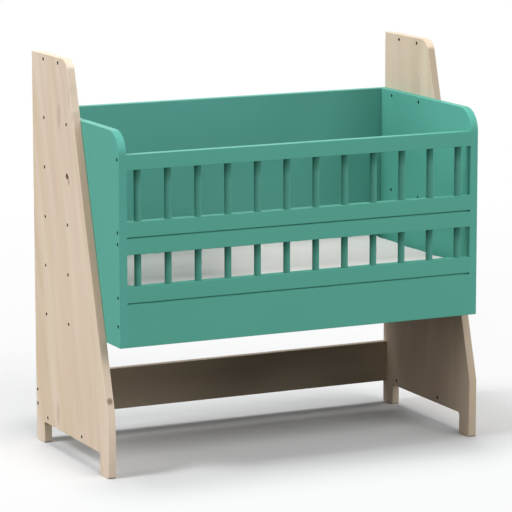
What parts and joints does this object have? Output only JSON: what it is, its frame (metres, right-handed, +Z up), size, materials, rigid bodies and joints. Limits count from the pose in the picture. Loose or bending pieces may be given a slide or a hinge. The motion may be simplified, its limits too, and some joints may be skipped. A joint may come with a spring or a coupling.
{
  "type": "bedside crib",
  "caption": "Painted crib box with slatted front frames, bolted between pine uprights with a stretcher; mattress on a loose base board.",
  "frame": {"origin": "on the floor, under the middle of the whole crib", "axes": "+X along the crib to the right, +Y towards the back, +Z up"},
  "size_m": [0.8926, 0.438, 0.872],
  "materials": {
    "pine": "clear matt lacquer on edge-glued pine",
    "paint": "satin blue-green paint on board and beech spindles",
    "birch_ply": "raw birch plywood",
    "cover": "plain off-white cotton cover",
    "black_steel": "black oxide steel"
  },
  "bodies": {
    "crib": {"left_upright": "pine", "right_upright": "pine", "stretcher": "pine", "left_end_panel": "paint", "right_end_panel": "paint", "back_panel": "paint", "upper_frame_top_rail": "paint", "upper_frame_bottom_rail": "paint", "lower_frame_top_rail": "paint", "lower_frame_bottom_rail": "paint", "front_board": "paint", "upper_spindle_01": "paint", "upper_spindle_02": "paint", "upper_spindle_03": "paint", "upper_spindle_04": "paint", "upper_spindle_05": "paint", "upper_spindle_06": "paint", "upper_spindle_07": "paint", "upper_spindle_08": "paint", "upper_spindle_09": "paint", "upper_spindle_10": "paint", "upper_spindle_11": "paint", "upper_spindle_12": "paint", "lower_spindle_01": "paint", "lower_spindle_02": "paint", "lower_spindle_03": "paint", "lower_spindle_04": "paint", "lower_spindle_05": "paint", "lower_spindle_06": "paint", "lower_spindle_07": "paint", "lower_spindle_08": "paint", "lower_spindle_09": "paint", "lower_spindle_10": "paint", "lower_spindle_11": "paint", "lower_spindle_12": "paint", "bearer_frame": "paint", "box_bolt_left_1": "black_steel", "box_bolt_left_2": "black_steel", "box_bolt_left_3": "black_steel", "box_bolt_left_4": "black_steel", "box_bolt_right_1": "black_steel", "box_bolt_right_2": "black_steel", "box_bolt_right_3": "black_steel", "box_bolt_right_4": "black_steel", "stretcher_screw_left_1": "black_steel", "stretcher_screw_left_2": "black_steel", "stretcher_screw_right_1": "black_steel", "stretcher_screw_right_2": "black_steel", "rail_screw_left_1": "black_steel", "rail_screw_left_2": "black_steel", "rail_screw_left_3": "black_steel", "rail_screw_left_4": "black_steel", "rail_screw_left_5": "black_steel", "rail_screw_right_1": "black_steel", "rail_screw_right_2": "black_steel", "rail_screw_right_3": "black_steel", "rail_screw_right_4": "black_steel", "rail_screw_right_5": "black_steel"},
    "base": {"base_board": "birch_ply"},
    "mattress": {"mattress": "cover"}
  },
  "joints": [
    {"name": "base_lift", "type": "slide", "parent": "crib", "child": "base", "axis": [0, 0, 1], "range_m": [0, 0.43]},
    {"name": "mattress_lift", "type": "slide", "parent": "base", "child": "mattress", "axis": [0, 0, 1], "range_m": [0, 0.42]}
  ]
}
